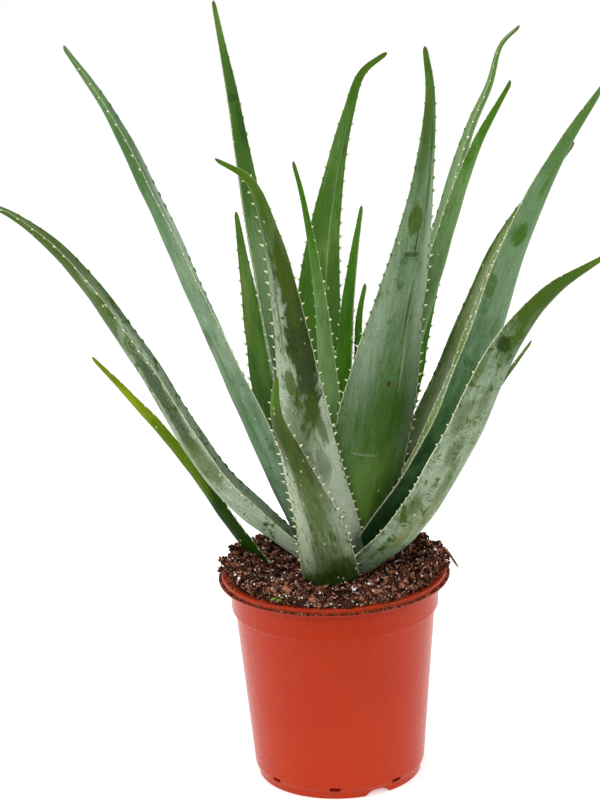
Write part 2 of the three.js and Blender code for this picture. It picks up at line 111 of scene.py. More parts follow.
# Each leaf, front ones first:
#   spine from root to tip, in millimetres,
#   width at the root, a quarter, half and three quarters, bearing of the outer face at root and tip,
#   thickness, hollow of the inner face at root and tip as a share of the half width, slot, kind of skin,
#   wax (cover of the bloom) and tone (deep to light green) at the root, each quarter and the tip, in
#   percent, soft patches of more wax (share of the length, side, half length, half width, change),
#   coloured marks (share, side, half length, half width, strength, softness, colour), all in percent.
LEAVES = {
    "front_short": (
        [(-2, -28, 157), (-11, -49, 211), (-25, -74, 266), (-37, -87, 306), (-36, -93, 336)],
        (42, 35, 22, 12), (268, 262), 9, (0.2, 0.1), "leaf", "olive",
        (40, 50, 40, 10, 0), (30, 45, 45, 30, 70), [(40, -75, 35, 35, 50), (25, 90, 20, 30, 20)],
        [(3, 10, 5, 160, 80, 40, RUBBED), (10, 50, 3, 50, 60, 40, RUBBED), (40, 25, 10, 30, 40, 60, OLIVE),
         (70, 30, 20, 40, 40, 50, OLIVE), (95, 0, 8, 150, 70, 50, TIP_GREEN)]),
    "front_curled": (
        [(2, -16, 167), (-16, -42, 255), (-25, -72, 353), (-36, -94, 435), (-50, -101, 479),
         (-72, -105, 496)],
        (46, 44, 29, 16), (262, 250), 11, (0.3, 0.1), "leaf", "mottled",
        (100, 100, 75, 50, 0), (40, 50, 40, 40, 60), [],
        [(57, 50, 20, 62, 95, 20, RUBBED), (57, 85, 15, 24, 70, 40, RUBBED), (74, 45, 15, 50, 70, 45, OLIVE),
         (46.8, -20, 3, 36, 90, 15, OLIVE), (41, 62, 5, 20, 80, 20, RUBBED), (34, 72, 4, 14, 70, 30, OLIVE),
         (63, -40, 10, 8, 60, 30, RUBBED), (37, 15, 8, 70, 60, 40, OLIVE), (27, 0, 5, 50, 40, 40, OLIVE),
         (27, 55, 5, 16, 50, 30, OLIVE), (78, -30, 10, 12, 60, 30, RUBBED),
         (93, 20, 6, 100, 70, 40, TIP_GREEN), (3, 0, 3, 200, 70, 40, RUBBED)]),
    "low_right": (
        [(21, -10, 161), (58, -36, 204), (98, -72, 284), (124, -98, 351), (154, -117, 398), (193, -135, 430)],
        (30, 33, 33, 23), (310, 310), 11, (0.35, 0.15), "leaf", "mottled",
        (55, 66, 66, 45, 10), (50, 60, 60, 50, 60), [],
        [(70, -70, 2, 26, 90, 25, RUBBED), (42, -55, 5, 16, 60, 40, OLIVE), (50, -80, 5, 16, 60, 40, OLIVE),
         (56, -40, 5, 14, 50, 50, OLIVE), (34, -30, 7, 14, 50, 50, OLIVE), (16, -50, 6, 16, 50, 40, BROWNISH),
         (26, -20, 8, 14, 50, 40, BROWNISH), (62, -90, 5, 12, 60, 40, OLIVE),
         (45, -10, 6, 10, 50, 40, BROWNISH), (80, -80, 4, 14, 60, 40, OLIVE), (24, -75, 4, 10, 60, 40, OLIVE),
         (75, -50, 4, 12, 50, 40, OLIVE)]),
    "tall_right": (
        [(17, -3, 163), (80, -25, 255), (114, -41, 344), (137, -57, 419), (165, -73, 485), (196, -85, 538)],
        (32, 40, 35, 24), (325, 320), 11, (0.35, 0.15), "leaf", "teal",
        (10, 15, 50, 45, 10), (0, 20, 60, 100, 100), [],
        [(70, -55, 2, 26, 85, 35, GREEN), (79, -45, 2, 16, 60, 50, GREEN), (60, -85, 2, 12, 60, 30, OLIVE),
         (52, -30, 2, 15, 50, 30, OLIVE), (88, -20, 10, 100, 50, 50, GREEN)]),
    "channelled_right": (
        [(16, 7, 162), (66, 36, 242), (92, 58, 292), (115, 78, 344), (136, 93, 384), (188, 108, 447)],
        (30, 36, 29, 14), (5, 15), 9, (0.35, 0.2), "leaf", "mottled",
        (20, 40, 45, 40, 10), (60, 90, 90, 90, 60), [],
        [(50, 55, 40, 35, 40, 40, OLIVE), (50, 5, 45, 14, 60, 50, BROWNISH), (72, 75, 6, 20, 70, 30, OLIVE),
         (50, -20, 40, 10, 50, 50, WAXY), (60, 80, 20, 6, 70, 30, RUBBED)]),
    "right_behind": (
        [(14, 10, 166), (57, 37, 274), (77, 51, 345), (96, 60, 406)],
        (26, 32, 25, 12), (305, 300), 8, (0.3, 0.15), "leaf", "young",
        (0, 10, 15, 10, 0), (10, 20, 30, 40, 50), [], []),
    "broad_centre": (
        [(13, -6, 171), (36, -24, 287), (49, -42, 356), (61, -55, 412), (72, -68, 481), (76, -72, 531),
         (73, -72, 562)],
        (46, 57, 38, 16), (284, 276), 8, (0.1, 0.05), "leaf", "smooth",
        (0, 25, 60, 55, 20), (80, 70, 50, 40, 40), [(35, -75, 25, 40, 30), (60, 90, 30, 30, 30)],
        [(69, -15, 2.4, 40, 85, 25, OLIVE), (65, 12, 3, 4, 80, 30, RUBBED),
         (62.2, -5, 0.4, 40, 60, 40, RUBBED), (35.9, 7, 0.6, 5, 95, 20, BLEMISH),
         (85, -30, 10, 35, 60, 50, OLIVE), (52, 30, 6, 5, 60, 30, RUBBED), (21, -30, 0.2, 35, 50, 30, WAXY),
         (77, 50, 8, 10, 50, 40, RUBBED), (40, 40, 6, 3, 60, 40, WAXY), (45, 80, 25, 22, 20, 60, WAXY)]),
    "narrow_right": (
        [(12, 2, 173), (48, 2, 284), (87, 0, 407), (109, 4, 469), (136, 8, 518)],
        (18, 24, 24, 16), (335, 335), 9, (0.3, 0.15), "leaf", "young",
        (20, 50, 65, 60, 0), (40, 60, 80, 80, 60), [], [(60, 85, 35, 22, 60, 40, WAXY)]),
    "high_right": (
        [(9, 10, 171), (54, 57, 284), (86, 92, 380), (111, 112, 458), (126, 116, 490), (135, 116, 520),
         (149, 112, 535)],
        (26, 36, 30, 15), (22, 5), 9, (0.3, 0.15), "leaf", "smooth",
        (10, 40, 60, 50, 0), (50, 80, 100, 100, 70), [], [(75, -70, 20, 10, 40, 40, GREEN)]),
    "long_left": (
        [(-20, 2, 168), (-80, 14, 222), (-140, 26, 322), (-187, 36, 389), (-225, 42, 422), (-247, 44, 432)],
        (32, 36, 30, 20), (190, 170), 11, (0.35, 0.2), "leaf", "mottled",
        (75, 70, 60, 45, 0), (40, 50, 50, 50, 50), [(35, -20, 30, 30, 50)],
        [(45, 75, 12, 20, 80, 30, RUBBED), (28, 70, 6, 25, 70, 30, OLIVE), (66, 60, 9, 30, 70, 40, OLIVE),
         (30, -50, 8, 12, 50, 40, OLIVE), (80, 0, 12, 100, 50, 40, OLIVE), (15, -30, 10, 6, 60, 30, RUBBED),
         (76, 10, 1.2, 30, 60, 30, BLEMISH)]),
    "thin_left": (
        [(-27, 9, 144), (-53, 17, 158), (-78, 24, 190), (-100, 30, 224), (-124, 35, 256), (-148, 40, 284),
         (-173, 45, 312)],
        (16, 16, 15, 12), (215, 225), 5, (0.2, 0.1), "leaf_pale", "yellow",
        (0, 0, 0, 0, 0), (-30, -20, 30, 80, 90), [], []),
    "upper_left": (
        [(-17, 7, 169), (-62, 18, 284), (-92, 24, 359), (-122, 30, 433), (-152, 34, 500), (-181, 36, 547)],
        (30, 36, 30, 20), (205, 165), 10, (0.3, 0.2), "leaf", "teal",
        (50, 60, 68, 35, 0), (40, 60, 85, 70, 80), [(60, -75, 25, 35, 50)],
        [(17, -27, 1.4, 9, 90, 20, BLEMISH), (43, 30, 2, 25, 50, 30, GREEN), (30, 50, 10, 10, 35, 40, GREEN),
         (85, 30, 20, 60, 50, 50, GREEN)]),
    "tallest": (
        [(-11, 14, 175), (-44, 77, 346), (-55, 100, 412), (-65, 116, 487), (-76, 122, 559)],
        (28, 35, 24, 14), (150, 130), 9, (0.3, 0.15), "leaf", "smooth",
        (40, 50, 55, 10, 0), (50, 70, 90, 50, 60), [],
        [(82, 20, 0.8, 120, 60, 30, RUBBED), (60, -60, 25, 14, 40, 40, GREEN),
         (70, 40, 15, 20, 40, 40, GREEN)]),
    "left_back": (
        [(-13, 14, 166), (-40, 68, 235), (-55, 115, 307), (-61, 136, 348), (-66, 150, 391)],
        (28, 34, 27, 14), (130, 120), 8, (0.3, 0.15), "leaf", "smooth",
        (10, 20, 20, 10, 0), (40, 60, 70, 70, 70), [],
        [(75, 40, 12, 30, 40, 50, BROWNISH), (50, 60, 10, 30, 50, 40, GREEN)]),
    "narrow_centre": (
        [(0, -4, 177), (-2, -15, 299), (-5, -23, 371), (-14, -31, 446), (-20, -34, 475)],
        (20, 25, 17, 9), (225, 215), 7, (0.25, 0.1), "leaf_young", "young",
        (10, 40, 65, 40, 0), (50, 70, 85, 70, 60), [], []),
    "inner_right": (
        [(3, 8, 176), (14, 42, 304), (19, 53, 355), (24, 59, 387), (29, 62, 416)],
        (16, 21, 17, 11), (50, 40), 6, (0.25, 0.1), "leaf_young", "young",
        (0, 0, 0, 0, 0), (30, 30, 30, 40, 50), [], []),
    "inner_small": (
        [(10, 4, 176), (23, 24, 262), (25, 45, 336), (30, 48, 361)],
        (12, 15, 13, 8), (50, 50), 5, (0.2, 0.1), "leaf_young", "young",
        (0, 0, 5, 5, 0), (30, 30, 40, 40, 50), [], []),
    "tall_back": (
        [(-3, 15, 168), (-8, 69, 265), (-2, 122, 357), (11, 153, 422), (22, 164, 462), (33, 164, 492),
         (52, 160, 508)],
        (32, 44, 32, 14), (90, 80), 9, (0.25, 0.1), "leaf", "smooth",
        (0, 0, 10, 0, 0), (50, 50, 50, 60, 60), [],
        [(63, -30, 20, 3.5, 50, 50, WAXY), (78, -62, 1, 8, 80, 30, BLEMISH),
         (60, 50, 30, 12, 50, 50, GREEN)]),
    "small_right": (
        [(17, 15, 164), (74, 56, 213), (121, 85, 259), (154, 100, 297)],
        (15, 20, 18, 12), (350, 350), 5, (0.2, 0.1), "leaf_young", "yellow",
        (0, 10, 0, 0, 0), (-30, -30, -30, -10, 30), [], []),
}


# ---- material building ---------------------------------------------------------------------------


class Value:
    """A node's output. Arithmetic on it adds math nodes."""

    def __init__(self, tree, socket):
        self.tree, self.socket = tree, socket

    def __add__(self, other):
        return self.tree.math("ADD", self, other)

    def __sub__(self, other):
        return self.tree.math("SUBTRACT", self, other)

    def __mul__(self, other):
        return self.tree.math("MULTIPLY", self, other)

    def __truediv__(self, other):
        return self.tree.math("DIVIDE", self, other)

    def __abs__(self):
        return self.tree.math("ABSOLUTE", self)


class Tree:
    """Short calls that add nodes to one material, or to the world."""

    def __init__(self, name, kind="materials", shader="Principled BSDF"):
        self.block = getattr(bpy.data, kind).new(name)
        self.block.use_nodes = True
        self.tree = self.block.node_tree
        self.shader = self.tree.nodes[shader]

    def add(self, kind, settings=None, *values, **inputs):
        node = self.tree.nodes.new(kind)
        for key, value in (settings or {}).items():
            setattr(node, key, value)
        for socket, value in zip(node.inputs, values):
            self.plug(socket, value)
        for key, value in inputs.items():
            self.plug(node.inputs[key.replace("_", " ")], value)
        return node

    def plug(self, socket, value):
        if isinstance(value, Value):
            self.tree.links.new(value.socket, socket)
        else:
            socket.default_value = value

    def out(self, node, output=0):
        return Value(self, node.outputs[output])

    def attribute(self, name, output="Fac"):
        return self.out(self.add("ShaderNodeAttribute", {"attribute_name": name}), output)

    def object_place(self):
        return self.out(self.add("ShaderNodeTexCoord"), "Object")

    def part(self, vector, axis):
        return self.out(self.add("ShaderNodeSeparateXYZ", Vector=vector), axis)

    def stretched(self, vector, scale):
        return self.out(self.add("ShaderNodeMapping", Vector=vector, Scale=scale))

    def noise(self, vector, scale, detail=3.0, roughness=0.55, distortion=0.0):
        return self.out(self.add("ShaderNodeTexNoise", Vector=vector, Scale=scale, Detail=detail,
                                 Roughness=roughness, Distortion=distortion), "Fac")

    def spots(self, vector, scale, sizes, share, channel):
        """Round spots that fade between two sizes, in a share of the cells of a random pattern."""
        cells = self.add("ShaderNodeTexVoronoi", Vector=vector, Scale=scale)
        lot = self.out(self.add("ShaderNodeSeparateColor", Color=self.out(cells, "Color")), channel)
        return self.ramp(self.out(cells, "Distance"), *sizes) * self.ramp(lot, 1.0 - share, 1.01 - share)

    def math(self, operation, a, b=0.0):
        return self.out(self.add("ShaderNodeMath", {"operation": operation}, a, b))

    def ramp(self, value, low, high, out_low=0.0, out_high=1.0):
        """Smooth step from out_low at low to out_high at high."""
        return self.out(self.add("ShaderNodeMapRange", {"interpolation_type": "SMOOTHSTEP"}, Value=value,
                                 From_Min=low, From_Max=high, To_Min=out_low, To_Max=out_high))

    def mix(self, factor, a, b, blend="MIX"):
        node = self.add("ShaderNodeMix", {"data_type": "RGBA", "blend_type": blend}, factor)
        self.plug(node.inputs[6], a)
        self.plug(node.inputs[7], b)
        return self.out(node, 2)

    def shaded(self, colour, shade):
        """The colour multiplied by a brightness."""
        tint = self.out(self.add("ShaderNodeCombineColor", Red=shade, Green=shade, Blue=shade))
        return self.mix(1.0, colour, tint, "MULTIPLY")

    def bump(self, height, strength, distance, normal=None):
        node = self.add("ShaderNodeBump", Height=height, Strength=strength, Distance=distance)
        if normal is not None:
            self.plug(node.inputs["Normal"], normal)
        return self.out(node)

    def finish(self, **sockets):
        for key, value in sockets.items():
            self.plug(self.shader.inputs[key.replace("_", " ")], value)
        return self.block


# ---- leaf material -------------------------------------------------------------------------------


def leaf_material(name, kind, offset, marks):
    """Fleshy green skin under a waxy bloom that the attribute wax spreads and wear rubs off in spots."""
    *colours, edge, wear, flecks = KINDS[kind]
    deep, flesh, light, bloom, pale = (srgb(*colour) for colour in colours)
    t = Tree(name)
    place = t.attribute("skin", "Vector")
    skin = t.out(t.add("ShaderNodeVectorMath", {"operation": "ADD"}, place, (offset, offset * 0.37, 0.0)))
    share, side, wax = t.attribute("share"), t.attribute("side"), t.attribute("wax")
    tone, tooth = t.attribute("tone"), t.attribute("tooth")

    lengthwise = t.stretched(skin, (1.0, 0.08, 1.0))
    broad = t.noise(t.stretched(skin, (1.0, 0.3, 1.0)), 60.0, 4.0, 0.6) - 0.5
    streaks = t.noise(lengthwise, 380.0, 4.0, 0.65)
    streaky = streaks - 0.5
    fine_streaks = t.noise(lengthwise, 1500.0, 2.0)
    grain = t.noise(skin, 1100.0, 4.0, 0.65)

    depth = tone + broad * 1.3 + streaky * 0.4
    colour = t.mix(t.ramp(depth, 0.0, 0.5), deep, flesh)
    colour = t.mix(t.ramp(depth, 0.5, 1.0), colour, light)

    drawn = t.stretched(skin, (1.0, 0.4, 1.0))
    smear = t.noise(drawn, 170.0, 8.0, 0.7, 0.4)
    crossing = t.noise(t.stretched(skin, (0.6, 1.3, 1.0)), 230.0, 4.0, 0.6, 0.3)
    spotty = t.math("MAXIMUM", t.ramp(smear, 0.54, 0.66), t.ramp(crossing, 0.6, 0.72))
    cover = t.ramp(wax + broad * 0.6 + streaky * 0.45 - spotty * wear, 0.5 - edge, 0.5 + edge)
    paleness = wax * 0.7 + streaks * 0.5 + grain * 0.3
    colour = t.mix(cover, colour, t.mix(t.ramp(paleness, 0.55, 1.3), bloom, pale))

    ragged = (t.noise(drawn, 75.0, 10.0, 0.72, 0.6) - 0.5) * 2.8
    for *measures, paint in marks:
        at_share, at_side, half_length, half_width, strength, softness = np.array(measures) / 100
        along, sideways = (share - at_share) / half_length, (side - at_side) / half_width
        distance = t.math("SQRT", along * along + sideways * sideways) + ragged
        inside = t.ramp(distance, 1.0 - softness, 1.0 + softness, strength, 0.0)
        colour = t.mix(inside, colour, paint)
        cover = cover - inside * 0.6

    winding = t.noise(t.stretched(skin, (1.0, 0.55, 1.0)), 190.0, 3.0, 0.6, 1.4)
    line = t.ramp(abs(winding - 0.5), 0.03, 0.01)
    scrawl = line * t.ramp(t.noise(skin, 50.0, 3.0), 0.48, 0.6) * max(0.0, wear * 2.6 - 0.6)
    colour = t.mix(scrawl, colour, OLIVE)

    colour = t.mix(t.ramp(share + streaky * 0.1, 0.84, 1.0, 0.0, 0.55), colour, TIP_GREEN)
    scratches = t.noise(t.stretched(skin, (1.0, 0.06, 1.0)), 520.0, 2.0, 0.5)
    shade = t.ramp(fine_streaks, 0.25, 0.75, 0.86, 1.07) * t.ramp(grain, 0.25, 0.75, 0.8, 1.14)
    colour = t.shaded(colour, shade * t.ramp(scratches, 0.66, 0.72, 1.0, 0.82))

    fleck = t.spots(t.stretched(skin, (1.0, 0.45, 1.0)), 300.0, (0.22, 0.1), flecks, "Red")
    colour = t.mix(fleck * 0.7, colour, FLECK)
    blemish = t.spots(skin, 60.0, (0.06, 0.03), 0.1, "Green")
    colour = t.mix(blemish * 0.8, colour, BLEMISH)

    colour = t.mix(t.ramp(abs(side), 0.968, 0.996) * 0.6, colour, CREAM)
    tooth_colour = t.mix(t.ramp(tooth, 0.75, 1.0), CREAM, TOOTH_TIP)
    colour = t.mix(t.ramp(tooth, 0.1, 0.55), colour, tooth_colour)
    colour = t.mix(t.ramp(share, 0.985, 1.0, 0.0, 0.5), colour, BLEMISH)

    normal = t.bump(grain, 0.12, 0.0005, t.bump(fine_streaks, 0.15, 0.0006))
    normal = t.bump(smear, 0.12, 0.0012, normal)
    return t.finish(Base_Color=colour, Specular_IOR_Level=0.12, Normal=normal,
                    Roughness=t.ramp(cover, 0.0, 1.0, 0.38, 0.6))


# ---- leaf meshes ---------------------------------------------------------------------------------


def curve_points(spine, count=480):
    """Centripetal Catmull-Rom curve through the spine's points, evenly in the curve's parameter."""
    points = np.array(spine, float)
    last = len(points) - 1
    result = []
    for k in range(count + 1):
        at = min(int(last * k / count), last - 1)
        w = last * k / count - at
        here, after = points[at], points[at + 1]
        before = points[at - 1] if at > 0 else 2 * here - after
        beyond = points[at + 2] if at + 2 <= last else 2 * after - here
        d0 = np.linalg.norm(here - before) ** 0.5
        d1 = np.linalg.norm(after - here) ** 0.5
        d2 = np.linalg.norm(beyond - after) ** 0.5
        start = ((here - before) / d0 - (after - before) / (d0 + d1) + (after - here) / d1) * d1
        end = ((after - here) / d1 - (beyond - here) / (d1 + d2) + (beyond - after) / d2) * d1
        result.append(here + start * w + (3 * (after - here) - 2 * start - end) * w ** 2
                      + (2 * (here - after) + start + end) * w ** 3)
    return np.array(result)


def through(samples, share):
    """Smooth value through evenly spaced samples, for an array of shares from 0 to 1."""
    last = len(samples) - 1
    padded = np.array([2 * samples[0] - samples[1], *samples,
                       samples[-1] + 0.6 * (samples[-1] - samples[-2])], float)
    at = np.minimum((share * last).astype(int), last - 1)
    t = share * last - at
    before, here, after, beyond = (padded[at + k] for k in range(4))
    return 0.5 * (2 * here + (after - before) * t + (2 * before - 5 * here + 4 * after - beyond) * t ** 2
                  + (3 * here - before - 3 * after + beyond) * t ** 3)


def unit(vectors):
    return vectors / np.linalg.norm(vectors, axis=-1, keepdims=True)


TANGENT_STEP = 2.5


class Leaf:
    """One leaf's spine, section axes and sizes, in millimetres, at any share of its length."""

    def __init__(self, spine, widths, facing, thick, channel):
        self.widths, self.facing, self.thick, self.channel = widths, facing, thick, channel
        self.curve = curve_points(spine)
        steps = np.linalg.norm(np.diff(self.curve, axis=0), axis=1)
        self.reach = np.concatenate([[0.0], np.cumsum(steps)])
        self.length = self.reach[-1]

    def on_curve(self, distance):
        return np.stack([np.interp(distance, self.reach, self.curve[:, k]) for k in range(3)], -1)

    def stations(self, share):
        share = np.asarray(share, float)
        distance = share * self.length
        centre = self.on_curve(distance)
        ahead = self.on_curve(np.minimum(distance + TANGENT_STEP, self.length))
        behind = self.on_curve(np.maximum(distance - TANGENT_STEP, 0.0))
        tangent = unit(ahead - behind)
        first, last = self.facing
        bearing = np.radians(first + (last - first) * share)
        side = np.stack([-np.sin(bearing), np.cos(bearing), np.zeros_like(bearing)], -1)
        side = unit(side - tangent * np.sum(side * tangent, -1, keepdims=True))
        outward = np.cross(side, tangent)
        half = np.maximum(through([*self.widths, BLADE.tip_width], share), BLADE.tip_width) / 2
        fullness = (2 * half / max(self.widths)) ** 0.7
        clasp = BLADE.root_thinness + (1 - BLADE.root_thinness) * np.minimum(share / BLADE.root_share, 1)
        thickness = np.maximum(self.thick * fullness * clasp, BLADE.tip_thickness)
        start, end = self.channel
        hollow = half * (start + (end - start) * share)
        centre = centre - outward * ((thickness + hollow) / 2)[..., None]
        return SimpleNamespace(centre=centre, tangent=tangent, side=side, outward=outward,
                               half=half, thickness=thickness, hollow=hollow)


OUTER_POINTS = 19
INNER_POINTS = 13
STATION_STEP = 2.2
MARGIN_THICKNESS = 0.9
TIP_ROUNDING = 5.0
TIP_STEPS = np.array([0.0, 0.3, 0.55, 0.75, 0.9, 0.97, 1.0])
# Irregularities: size in millimetres, waves along the leaf and, on the faces, across it.
SWAY = ((0.012, 21), (0.009, 47))  # of the half width, as a share of it
FACE_WAVES = ((0.16, 63, 2.6), (0.22, 29, 5.1))
MARGIN_WAVE = (0.35, 37)


def section_shape():
    """Across positions from -1 to 1 over the outer face and back over the inner face."""
    outer = np.sin(np.linspace(-math.pi / 2, math.pi / 2, OUTER_POINTS))
    inner = np.sin(np.linspace(math.pi / 2, -math.pi / 2, INNER_POINTS + 2))[1:-1]
    return np.concatenate([outer, inner]), np.concatenate([np.zeros(OUTER_POINTS), np.ones(INNER_POINTS)])


def leaf_rows(leaf, seed):
    """Vertex rows of the blade with small irregularities, and the values its material reads."""
    wander = np.random.default_rng(seed)
    rows = int(leaf.length / STATION_STEP)
    blunt = 1 - TIP_ROUNDING / leaf.length
    share = np.concatenate([np.linspace(0, blunt, rows)[:-1], blunt + (1 - blunt) * TIP_STEPS])
    s = leaf.stations(share)
    across, face = section_shape()
    from_tip = np.clip((1 - share) * leaf.length / TIP_ROUNDING, 0, 1)
    taper = np.maximum(np.sqrt(1 - (1 - from_tip) ** 2), 0.08)
    phases = wander.uniform(0, 6.28, 6)
    sway = sum(size * np.sin(share * waves + phase) for (size, waves), phase in zip(SWAY, phases))
    half, thickness, hollow = s.half * (1 + sway) * taper, s.thickness * taper, s.hollow * taper
    x = across[None, :]
    outer = (thickness + hollow)[:, None] * (1 - np.abs(x) ** 2.0)
    inner = hollow[:, None] * (1 - x ** 2)
    edge = (MARGIN_THICKNESS / 2 * np.minimum(1, half / 6))[:, None] * np.sqrt(np.maximum(0, 1 - x ** 2))
    out = np.where(face[None, :] > 0.5, inner - edge, outer + edge * 0.4)
    uneven = sum(size * np.sin(share * along + phases[k])[:, None] * np.sin(x * over + phases[k + 1])
                 for k, (size, along, over) in zip((2, 4), FACE_WAVES))
    out = out + uneven * np.minimum(1, half / 10)[:, None] * (1 - x ** 2)
    size, waves = MARGIN_WAVE
    wave = (size * np.minimum(1, half / 8) * np.sin(share * waves + phases[1]))[:, None]
    points = (s.centre[:, None, :] + s.side[:, None, :] * (half[:, None] * x)[..., None]
              + s.outward[:, None, :] * (out + wave * x ** 2)[..., None])
    return share, across, face, half, points


def band_faces(rings, sides, start=0, inward=False):
    """Quads that join rings of points, which follow each other from the index start."""
    faces = []
    for k in range(rings - 1):
        a, b = start + k * sides, start + (k + 1) * sides
        for i in range(sides):
            j = (i + 1) % sides
            faces.append((a + i, b + i, b + j, a + j) if inward else (a + i, a + j, b + j, b + i))
    return faces


def fan_faces(centre, start, sides, inward=False):
    """Triangles from a centre point to a ring."""
    order = [(start + i, start + (i + 1) % sides) for i in range(sides)]
    return [(centre, b, a) if inward else (centre, a, b) for a, b in order]


TOOTH_SIDES = 7
TOOTH_RINGS = 5
TOOTH_SUNK = 1.1  # how far a full-size tooth starts inside the margin


def tooth_shares(leaf, wander):
    """Places of one margin's teeth: close at the root, further apart towards the tip."""
    places = []
    distance = PITCH.first + wander.uniform(0, PITCH.first_spread)
    near = PITCH.near + max(leaf.widths) * PITCH.near_per_width
    while distance < leaf.length * PITCH.last_share:
        places.append(distance / leaf.length)
        pitch = near + (PITCH.far - near) * (distance / leaf.length) ** 1.2
        distance += pitch * wander.uniform(0.78, 1.22)
    return np.array(places)


def tooth_mesh(station, k, hand, wander):
    """Rings of one marginal tooth, a flattened cone hooked towards the leaf's tip."""
    half = station.half[k]
    scale = min(1.0, (half / TOOTH.full_size_half_width) ** 0.6) * wander.uniform(0.75, 1.15)
    along, side, outward = station.tangent[k], station.side[k] * hand, station.outward[k]
    foot = station.centre[k] + side * (half - TOOTH_SUNK * scale) + outward * 0.25
    reach = (TOOTH.length + TOOTH_SUNK) * scale
    lean = TOOTH.lean * scale * wander.uniform(0.7, 1.5)
    tilt = wander.uniform(-0.12, 0.3)
    angles = np.arange(TOOTH_SIDES) * 2 * math.pi / TOOTH_SIDES
    rings = []
    for r in range(TOOTH_RINGS):
        t = r / (TOOTH_RINGS - 0.55)
        middle = foot + side * (reach * t) + along * (lean * t ** 1.8) + outward * (tilt * reach * t)
        spread_along = TOOTH.base / 2 * scale * (1 - t) ** 1.25
        spread_out = TOOTH.thickness / 2 * scale * (1 - t) ** 0.9
        rings.append(middle + np.outer(np.cos(angles), along) * spread_along
                     + np.outer(np.sin(angles), outward) * spread_out)
    apex = foot + side * reach + along * lean + outward * (tilt * reach)
    level = np.append(np.repeat(np.arange(TOOTH_RINGS), TOOTH_SIDES) / TOOTH_RINGS, 1.0)
    return np.concatenate([*rings, apex[None]]), level


def tooth_faces(start):
    top = start + (TOOTH_RINGS - 1) * TOOTH_SIDES
    sides = band_faces(TOOTH_RINGS, TOOTH_SIDES, start) + fan_faces(top + TOOTH_SIDES, top, TOOTH_SIDES)
    return [*sides, tuple(range(start, start + TOOTH_SIDES))[::-1]]


def placed(name, data):
    """A new object in the scene."""
    piece = bpy.data.objects.new(name, data)
    bpy.context.scene.collection.objects.link(piece)
    return piece


def mesh_object(name, points, faces, material, values=None, smooth=True):
    """A mesh piece from points in millimetres. values maps attribute names to one number a point."""
    mesh = bpy.data.meshes.new(name)
    mesh.from_pydata((np.asarray(points) * MM).tolist(), [], faces)
    mesh.materials.append(material)
    for key, data in (values or {}).items():
        data = np.asarray(data, np.float32)
        kind, field = ("FLOAT_VECTOR", "vector") if data.ndim == 2 else ("FLOAT", "value")
        mesh.attributes.new(key, kind, "POINT").data.foreach_set(field, data.ravel())
    if smooth:
        mesh.polygons.foreach_set("use_smooth", [True] * len(mesh.polygons))
    mesh.update()
    return placed(name, mesh)


def face_outwards(piece):
    work = bmesh.new()
    work.from_mesh(piece.data)
    bmesh.ops.recalc_face_normals(work, faces=work.faces)
    work.to_mesh(piece.data)
    work.free()


def spread(percents, patches, share, across):
    """A value along the leaf, changed in soft patches."""
    amount = through(np.array(percents) / 100, share) + 0 * across
    for patch in patches:
        at_share, at_across, length, width, change = np.array(patch) / 100
        spot = ((share - at_share) / length) ** 2 + ((across - at_across) / width) ** 2
        amount = amount + change * np.exp(-spot ** 1.5)
    return amount


INNER_SKIN_SHIFT = 90  # keeps the inner face's patterns apart from the outer face's, in millimetres
LAST_TOOTH_SHARE = 0.98  # teeth further up keep clear of the dry tip's colour
TOOTH_SIDE = 0.95
TOOTH_WAX = 0.3
TOOTH_TONE = 0.5


def build_leaf(name, number, spine, widths, facing, thick, channel, slot, kind, wax, tone, patches, marks):
    """One leaf: its blade, then the teeth of the left and the right margin."""
    leaf = Leaf(spine, widths, facing, thick, channel)
    share, across, face, half, rows = leaf_rows(leaf, SEEDS.blades + number)
    count, columns = rows.shape[:2]
    total = count * columns
    points, faces = [rows.reshape(-1, 3)], band_faces(count, columns)
    faces += [tuple(range(columns))[::-1], tuple(range(total - columns, total))]
    skin_across = half[:, None] * across + face * INNER_SKIN_SHIFT
    skin_along = (share * leaf.length)[:, None] + 0 * skin_across
    values = {
        "skin": [np.stack([skin_across, skin_along, 0 * skin_across], -1).reshape(-1, 3) * MM],
        "share": [np.repeat(share, columns)], "side": [np.tile(across, count)],
        "wax": [spread(wax, patches, share[:, None], across).ravel()],
        "tone": [spread(tone, [], share[:, None], across).ravel()], "tooth": [np.zeros(total)],
    }
    wander = np.random.default_rng(SEEDS.teeth + number)
    for hand in (-1, 1):
        places = tooth_shares(leaf, wander)
        station = leaf.stations(places)
        for k, place in enumerate(places):
            cone, level = tooth_mesh(station, k, hand, wander)
            points.append(cone)
            faces.extend(tooth_faces(total))
            total += len(cone)
            looks = {"skin": np.array([[half[0] * hand, place * leaf.length, 0.0]]) * MM,
                     "share": min(place, LAST_TOOTH_SHARE), "side": TOOTH_SIDE * hand,
                     "wax": TOOTH_WAX, "tone": TOOTH_TONE, "tooth": level}
            for key, value in looks.items():
                shape = (len(cone), 3) if key == "skin" else len(cone)
                values[key].append(np.broadcast_to(value, shape))
    joined = {key: np.concatenate(parts) for key, parts in values.items()}
    skin = leaf_material("skin_leaf_" + name, kind, 0.31 * number, marks)
    piece = mesh_object("fine_leaf_" + name, np.concatenate(points), faces, skin, joined)
    face_outwards(piece)
    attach(piece, "root")
    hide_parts("leaf_" + name)


# ---- pot -----------------------------------------------------------------------------------------

POT_SEGMENTS = 360


